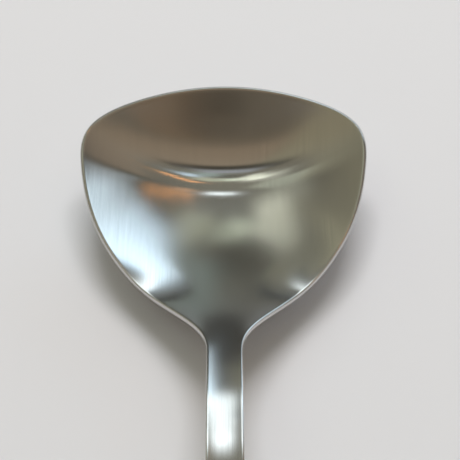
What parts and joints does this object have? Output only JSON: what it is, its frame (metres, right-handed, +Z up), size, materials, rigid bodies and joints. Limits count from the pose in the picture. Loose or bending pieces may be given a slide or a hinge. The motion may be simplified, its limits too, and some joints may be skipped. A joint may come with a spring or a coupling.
{
  "type": "kitchen ladle",
  "caption": "Kitchen ladle pressed in one piece from sheet steel: a wide fan-shaped bowl with a curved lip, and a narrow strap handle with a hanging hole.",
  "frame": {"origin": "centre of the ladle's footprint, on the surface that it lies on", "axes": "+Z up, +Y from the handle towards the lip of the bowl, +X across, to the right when seen from the handle's end"},
  "size_m": [0.091, 0.3062, 0.0344],
  "materials": {
    "ladle_steel": "satin, brushed lengthwise"
  },
  "bodies": {
    "root": {"ladle": "ladle_steel"}
  },
  "joints": []
}
